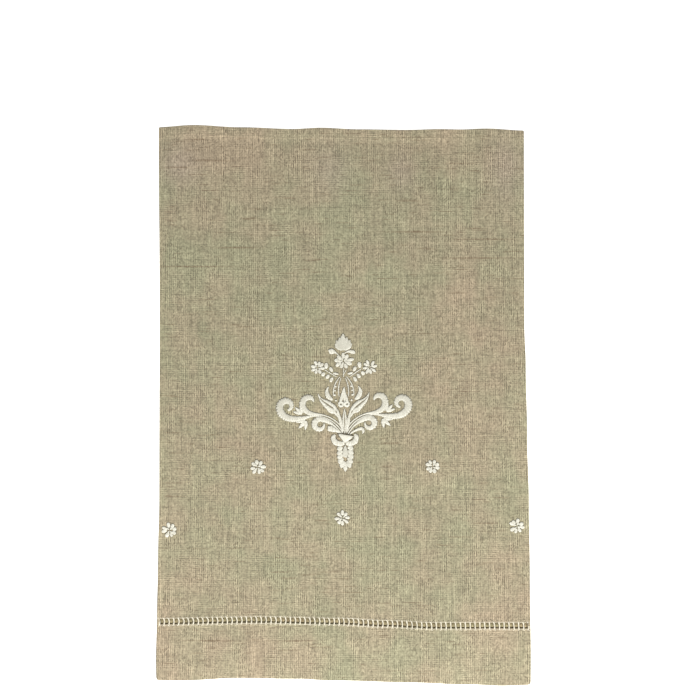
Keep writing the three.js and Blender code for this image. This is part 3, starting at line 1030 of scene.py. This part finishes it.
def satinStroke(one, place, lift=0.0):
    # rings across the stroke: a crown of the root of 1 less t to the fourth, with a ridge for each pass;
    # place(points) moves flat points of the design onto the cloth
    t, look = stitchSides, stitchLook
    line, along = walkStroke(one["start"], one["heading"], one["runs"])
    total = along[-1]
    at = np.linspace(0, total, 2 * max(3, round(total / look["threadPitch"])) + 1)
    ridge = (np.arange(len(at)) % 2)[:, None]
    ragged = 1 + draw.normal(0, look["raggedEdge"], (len(at), 2))
    slant = one.get("slant", look["slant"])
    shift = np.abs(t) * slant if one.get("vein") else t * slant
    where = np.clip(at[:, None] + shift * strokeWidth(one["widths"], at / total)[:, None] / 2, 0, total)
    centre = np.stack([np.interp(where, along, line[:, k]) for k in (0, 1)], -1)
    slope = np.gradient(line, along, axis=0)
    normal = np.stack([-np.interp(where, along, slope[:, 1]), np.interp(where, along, slope[:, 0])], -1)
    local = strokeWidth(one["widths"], where / total)
    stretch = np.where(t < 0, ragged[:, :1], ragged[:, 1:])
    reach = local / 2 * t * (1 + (stretch - 1) * nearEdge)
    # teeth stand out on one side of the wide stretches
    teeth = one.get("teeth", 0.0)
    tooth = np.abs(np.mod(where / look["toothPitch"], 1.0) * 2 - 1) * smoothStep(*look["toothWidths"], local)
    reach = reach + teeth * tooth * (nearEdge & (t * teeth > 0))
    # past the edge, a flat skirt as wide as the needle line carries its painted shade
    reach = reach + np.sign(t) * (atEdge * look["edgeStep"] * (ridge * 2 - 1) + beside * look["needleLineShade"])
    crown = (look["rise"] + look["risePerWidth"] * local) * np.sqrt(np.clip(1 - t ** 4, 0, 1))
    if one.get("vein"):
        crown = crown * (1 - look["veinDepth"] * np.exp(-(t / look["veinWidth"]) ** 2))
    height = crown + look["ridge"] * (ridge - 0.5) + lift
    height = np.where(atEdge, look["edgeHeight"] * ~beside, height)
    onCloth = place((centre + normal * reach[..., None]).reshape(-1, 2)).reshape(*centre.shape)
    height = surfaceHeight(onCloth[..., 0], onCloth[..., 1]) + height
    rings = np.concatenate([onCloth, height[..., None]], -1)
    keel = rings[:, [0, -1]].mean(1) - [0, 0, look["sink"]]
    points, quads, caps = closeRings(np.concatenate([rings, keel[:, None]], 1)[None])
    shades = strokeShades(one, at / total, local)
    # a mirrored place turns the surface inside out, so it is turned back
    a, b, c = place(np.array([[0, 0], [1, 0], [0, 1.0]]))
    if np.cross(b - a, c - a) < 0:
        quads, caps = quads[:, ::-1], caps[:, ::-1]
    return points, quads, caps, shades


def placer(origin, turn=0.0, mirror=1):
    # mirrors flat points, turns them by degrees and moves them to the origin
    cosine, sine = math.cos(math.radians(turn)), math.sin(math.radians(turn))
    turned = np.array([[cosine, -sine], [sine, cosine]])
    return lambda flat: (flat * [mirror, 1]) @ turned.T + np.array(origin)


petalLook = {
    "shape": (0.4, 0.84, 1, 0.94, 0.5),  # shares of the width from foot to tip
    "slant": 0.2,
    "turnSpread": 5,
    "lengths": (0.8, 1.08),
    "widths": (0.84, 1.1),
    "bendSpread": 12,
    "greys": (0.85, 1.0),
    "lifts": (0, 0.15),
}


def petal(foot, heading, length, width, turn=0.0, grey=1.0):
    # one short stroke, widest in its middle
    widths = [width * share for share in petalLook["shape"]]
    return stroke(foot, heading, [(length, turn, 1.0)], widths, greys=[grey], slant=petalLook["slant"])


def petalRing(centre, petals, inner, outer, width, turn, place, tall, lift=0.0, grey=1.0):
    # petals in a ring flattened to the share tall, each a little different
    look, parts = petalLook, []
    for k in range(petals):
        a = math.radians(turn + k * 360 / petals + draw.normal(0, look["turnSpread"]))
        way = (math.cos(a), tall * math.sin(a))
        foot = (centre[0] + inner * way[0], centre[1] + inner * way[1])
        length = (outer - inner) * math.hypot(*way) * draw.uniform(*look["lengths"])
        heading = math.degrees(math.atan2(way[1], way[0]))
        wide = width * draw.uniform(*look["widths"])
        bend = draw.normal(0, look["bendSpread"])
        one = petal(foot, heading, length, wide, bend, grey * draw.uniform(*look["greys"]))
        parts.append(satinStroke(one, place, lift + draw.uniform(*look["lifts"])))
    return parts


heart = {"inner": 0.8, "reach": 0.52, "width": 0.6, "turn": 30, "lift": 0.1, "grey": 0.7}


def flowerHead(centre, petals, inner, outer, width, turn, place, tall, heartPetals):
    # a ring of petals, with the small ring of its heart on top of it
    parts = petalRing(centre, petals, inner, outer, width, turn, place, tall)
    outer, width, turn = outer * heart["reach"], width * heart["width"], turn + heart["turn"]
    return parts + petalRing(centre, heartPetals, heart["inner"], outer, width, turn, place, tall,
                             heart["lift"], heart["grey"])


# The spray: strokes in millimetres from the foot where its stems meet. A side stroke is made on both
# sides, or on the one that its side names.

spray = {"foot": (1.3, -28.8), "turn": 0.8, "sideTurn": {1: 1.3, -1: 0.4}}
sprayScrolls = [
    # outer, inner and lower scroll; their greys are painted shade, darker towards the curls where the passes
    # catch less light
    stroke((1.8, 2.4), 61, [(39, -72, 1.1), (57, 366, 2.4)],
           [1.0, 1.1, 1.1, 1.1, 1.2, 1.8, 3.6, 5.0, 5.9, 6.5, 6.6, 5.8, 4.2, 2.0], teeth=-0.8, outline=0.3,
           greys=[0.95, 0.95, 0.92, 0.9, 0.88, 0.85, 0.7, 0.48, 0.55, 0.9]),
    stroke((0.9, 4.4), 64, [(30, -59, 1.0), (37, 262, 1.9)],
           [1.0, 1.1, 1.1, 1.1, 1.3, 2.2, 3.6, 4.8, 5.4, 5.6, 4.6, 1.2], teeth=-0.7, outline=0.3,
           greys=[0.95, 0.95, 0.92, 0.9, 0.88, 0.8, 0.65, 0.55, 0.85]),
    stroke((3.0, 0.8), 62, [(25, -47, 1.0), (25, -300, 1.1)],
           [1.0, 1.1, 1.4, 2.6, 4.0, 4.8, 5.2, 5.2, 4.4, 3.2, 0.8], teeth=0.6, outline=0.35,
           greys=[0.95, 0.95, 0.9, 0.85, 0.95]),
    # leaves that curl up beside the cup
    stroke((0.6, -7.4), -12, [(17.2, 158, 1.7)], [3.0, 5.0, 5.4, 5.6, 5.4, 4.4, 2.0]),
]
sprayLeaves = [
    # three-petalled bud between the scrolls
    stroke((41.0, 21.6), 12, [(8.6, 8, 1)], [1.6, 2.8, 2.8, 0.5]),
    stroke((40.8, 21.8), 42, [(9.0, 6, 1)], [1.6, 3.2, 2.8, 0.5]),
    stroke((40.4, 22.2), 76, [(8.2, -8, 1)], [1.4, 2.8, 2.4, 0.5]),
    # leaf tuft under the outer scroll
    stroke((37.2, 14.6), -88, [(8.8, 6, 1)], [2.2, 3.8, 2.8, 0.5]),
    stroke((37.6, 14.8), -50, [(9.8, 8, 1)], [2.2, 4.2, 3.2, 0.5]),
    stroke((38.0, 15.2), -14, [(9.2, 10, 1)], [1.8, 3.2, 2.4, 0.4]),
    # large pointed leaf with a lobe folded back at its foot
    stroke((1.8, 3.0), 80, [(17, -4, 1)], [1.0, 2.4, 3.2, 3.4, 2.6]),
    stroke((5.2, 17.6), 72, [(12.5, -36, 1), (8, 0, 1), (10.5, 40, 1.2)],
           [2.6, 4.6, 6.2, 8.0, 7.6, 4.8, 2.4, 0.5], vein=True, slant=0.5, teeth=-0.5),
    stroke((17.0, 26.6), -146, [(9.4, -24, 1.0)], [1.2, 4.6, 5.6, 4.2]),
    # crescent inside it
    stroke((10.8, 34.6), 22, [(15.5, 108, 1.1)], [1.6, 4.0, 4.6, 3.8, 2.4, 0.5], teeth=-0.4),
    # small leaves under the top leaf, and the foot leaves
    stroke((2.4, 79.0), 40, [(11.4, -84, 1.0)], [0.8, 1.3, 2.4, 3.4, 3.8, 1.8], side=1),
    stroke((4.2, 77.0), 58, [(11.2, -70, 1.0)], [0.9, 1.1, 1.8, 4.8, 5.6, 3.6], side=-1),
    stroke((4.8, 0.8), 42, [(11.5, -30, 1.0), (7, -158, 1.0)], [1.2, 1.9, 2.4, 3.0, 3.2, 0.8], side=1),
    stroke((2.6, 2.0), 30, [(15, -16, 1.0)], [1.0, 2.6, 3.2, 5.2, 6.2, 4.4], side=-1),
    # lily hanging in the middle, with a ring at each side of its mouth
    stroke((0.5, 45.4), -84, [(8, 10, 1), (6, 4, 1)], [0.6, 2.0, 3.0, 3.2, 2.4]),
    stroke((5.0, 30.2), -90, [(12.0, -360, 1)], [2.1, 2.6, 2.6, 2.1]),
    # pendant petals from the top down
    stroke((2.4, -11.4), -14, [(5.6, -24, 1)], [2.4, 4.4, 4.8, 2.0]),
    stroke((2.6, -14.8), -24, [(5.9, -24, 1)], [2.4, 4.6, 5.0, 2.0]),
    stroke((2.6, -18.4), -34, [(6.0, -22, 1)], [2.4, 4.6, 5.0, 2.0]),
    stroke((2.2, -21.8), -46, [(6.6, -20, 1)], [2.4, 4.6, 5.0, 2.0]),
    stroke((1.6, -24.6), -64, [(7.2, -12, 1)], [2.2, 4.4, 4.8, 1.6]),
]
sprayMiddle = [
    # the leaf between the stems, the lily's middle petal, two short stems, the cup and the pendant's petals
    stroke((0, 1.4), 90, [(24.5, 0, 1)], [0.8, 2.4, 4.2, 4.4, 2.8, 0.5], vein=True),
    stroke((0, 46.8), -90, [(14.5, 0, 1)], [0.6, 1.8, 2.8, 3.0, 2.2, 0.5]),
    stroke((-0.6, 56.4), 88, [(8.6, 0, 1)], [0.8, 0.8, 0.8]),
    stroke((-0.4, 58.4), 62, [(5.6, 0, 1)], [0.7, 0.8, 0.8]),
    stroke((-0.2, -7.2), 80, [(7.8, 0, 1)], [1.0, 5.0, 9.6, 13.6, 15.6], slant=0.0, lift=0.35),
    stroke((0, -25.4), -90, [(9.4, 0, 1)], [1.6, 3.8, 4.2, 1.2]),
    stroke((0.2, -9.6), -90, [(11.8, 0, 1)], [0.8, 3.8, 5.6, 6.2, 4.2], lift=0.25, greys=[0.75]),
]
sprayLines = [
    stroke((3.6, 56.6), -48, [(20, -50, 1.2)], [0.8, 1.1, 1.1, 1.0]),
    stroke((2.6, 55.4), -66, [(18, -34, 1)], [0.8, 1.0, 1.0, 0.8]),
    stroke((6.6, 56.6), 30, [(13.4, 4, 1)], [0.8, 0.9, 0.9, 0.8]),
]
lineLift = -0.15
hangingDots = {"x": [8.0, 8.6, 8.9, 7.8], "y": [47.4, 43.4, 39.0, 33.8], "size": [2.0, 1.7, 2.1, 1.9]}
sprayBuds = {
    "x": [16.6, 11.8, 7.4, 19.6, 15.4, 11.8], "y": [67.4, 63.8, 59.7, 59.4, 57.0, 54.0],
    "length": [5.6, 5.0, 5.2, 4.2, 4.6, 5.0], "width": [4.0, 3.6, 2.4, 3.7, 3.6, 3.4],
    "heading": [95, 60, 12, -50, -55, -60],
}
sprayHeads = {
    "x": [-0.4, 25.0, -25.4], "y": [71.6, 65.6, 65.8], "petals": [9, 8, 8], "inner": [3.0, 2.2, 2.2],
    "outer": [9.8, 7.0, 6.8], "width": [3.8, 3.2, 3.2], "turn": [14, 10, 25], "tall": [0.8, 0.98, 0.98],
    "heartPetals": [5, 4, 4],
}
topLeaf = {
    "foot": (-0.4, 82.4), "width": 5.4, "footWidth": 1.6, "tipWidth": 0.9, "slant": 0.7, "teeth": 0.5,
    "liftPerTurn": 0.002, "footGrey": 0.7, "turn": [54, -54, 36, -36, 17, -17, 0],
    "length": [10.4, 9.8, 11.8, 11.6, 12.8, 12.6, 15.8], "grey": [0.6, 0.55, 0.42, 0.38, 0.55, 0.45, 0.7],
}


def makeSpray():
    # side strokes are placed as drawn and mirrored, each side with a small turn of its own
    sides = {m: placer(spray["foot"], spray["turn"] + spray["sideTurn"][m], m) for m in (1, -1)}
    middle = placer(spray["foot"], spray["turn"])

    def both(strokes, lift=0.0):
        placed = [(one, m) for one in strokes for m in sides if one.get("side", m) == m]
        return [satinStroke(one, sides[m], lift) for one, m in placed]

    addThreads("spray_scrolls", both(sprayScrolls))
    leaves = both(sprayLeaves)
    leaves += [satinStroke(one, middle, one.get("lift", 0.0)) for one in sprayMiddle]
    addThreads("spray_leaves", leaves)

    fine = both(sprayLines, lineLift)
    for x, y, size in zip(*hangingDots.values()):
        widths = [size * 0.5, size, size, size * 0.5]
        fine += both([stroke((x - size / 2, y), 0, [(size, 0, 1)], widths, slant=0.0)])
    for x, y, length, width, heading in zip(*sprayBuds.values()):
        a = math.radians(heading)
        foot = (x - length / 2 * math.cos(a), y - length / 2 * math.sin(a))
        fine += both([petal(foot, heading, length, width)])
    for x, y, petals, inner, outer, width, turn, tall, heartPetals in zip(*sprayHeads.values()):
        fine += flowerHead((x, y), petals, inner, outer, width, turn, middle, tall, heartPetals)
    # the top leaf is a fan of pointed leaves, the middle ones on top; its greys are painted shade, for the
    # less light its passes catch
    wide = topLeaf["width"]
    for turn, length, grey in zip(topLeaf["turn"], topLeaf["length"], topLeaf["grey"]):
        widths = [topLeaf["footWidth"], wide * 0.8, wide, wide * 0.9, topLeaf["tipWidth"]]
        one = stroke(topLeaf["foot"], 90 - turn, [(length, 0, 1)], widths, slant=topLeaf["slant"],
                     greys=[grey * topLeaf["footGrey"], grey, grey],
                     teeth=math.copysign(topLeaf["teeth"], -turn))
        fine.append(satinStroke(one, middle, topLeaf["liftPerTurn"] * (60 - abs(turn))))
    addThreads("spray_flowers", fine)


smallFlower = {"petals": 8, "inner": 2.7, "outer": 7.6, "width": 3.7, "tall": 0.95, "heartPetals": 4}
smallFlowerPlaces = {
    "x": [-82.7, 85.9, -1.0, -167.5, 167.1],
    "y": [-59.5, -58.6, -108.4, -120.2, -116.2],
    "turn": [10, 25, 4, 18, 33],
}


def makeSmallFlowers():
    # the same flower head at each place, with a turn of its own
    for number, (x, y, turn) in enumerate(zip(*smallFlowerPlaces.values()), 1):
        head = flowerHead((0, 0), turn=turn, place=placer((x, y)), **smallFlower)
        addThreads(f"small_flower_{number}", head)


makeSpray()
makeSmallFlowers()
print("embroidery made")

# Floor, light and camera

studio = {
    "pixel": 0.965,  # millimetres of cloth to one pixel of the picture
    "pictureWidth": 700,
    "lookAt": (6.3, 53.5),
    "cameraHeight": 1300.0,
    "sensor": 36.0,
    "floorHalf": 3.0,
    "floorBelow": 0.2,
    "keyPlace": (0.3, -1.75, 1.45),
    "keySize": 0.7,
    "keyPower": 72.0,
    "skyStrength": 0.5,
}
floorLook = {"colour": (0.9, 0.9, 0.89, 1), "roughness": 0.9, "glowColour": (1, 1, 1, 1), "glow": 0.8}


def makeFloor():
    # a square just under the towel, pale and a little bright of itself
    r, z = studio["floorHalf"], -studio["floorBelow"] * millimetre
    mesh = bpy.data.meshes.new("floor")
    mesh.from_pydata([(-r, -r, z), (r, -r, z), (r, r, z), (-r, r, z)], [], [(0, 1, 2, 3)])
    floor = bpy.data.objects.new("floor", mesh)
    scene.collection.objects.link(floor)
    mesh.materials.append(newMaterial("paleFloor", floorLook)[0])


def makeLights():
    # the sky lights the cloth softly and looks as white as the floor; the key lamp aims at the origin
    world = bpy.data.worlds.new("sky")
    scene.world = world
    world.use_nodes = True
    seen = addNode(world.node_tree, "LightPath", {})["Is Camera Ray"]
    strength = mapNode(world.node_tree, seen, 0.0, 1.0, studio["skyStrength"], 1.0)
    background = world.node_tree.nodes["Background"]
    background.inputs["Color"].default_value = (1, 1, 1, 1)
    plug(world.node_tree, background.inputs["Strength"], strength)
    lamp = bpy.data.lights.new("key", "AREA")
    lamp.shape = "SQUARE"
    lamp.size = studio["keySize"]
    lamp.energy = studio["keyPower"]
    key = bpy.data.objects.new("key", lamp)
    key.location = studio["keyPlace"]
    key.rotation_euler = (-Vector(studio["keyPlace"])).to_track_quat("-Z", "Y").to_euler()
    scene.collection.objects.link(key)


def makeCamera():
    # straight above; the lens is the sensor times the height over the width of cloth that the picture shows
    data = bpy.data.cameras.new("camera")
    data.sensor_width = studio["sensor"]
    data.sensor_fit = "HORIZONTAL"
    data.lens = studio["sensor"] * studio["cameraHeight"] / (studio["pictureWidth"] * studio["pixel"])
    camera = bpy.data.objects.new("camera", data)
    camera.location = Vector((*studio["lookAt"], studio["cameraHeight"])) * millimetre
    scene.collection.objects.link(camera)
    scene.camera = camera


makeFloor()
makeLights()
makeCamera()
scene.view_settings.view_transform = "Standard"
print("stage made")
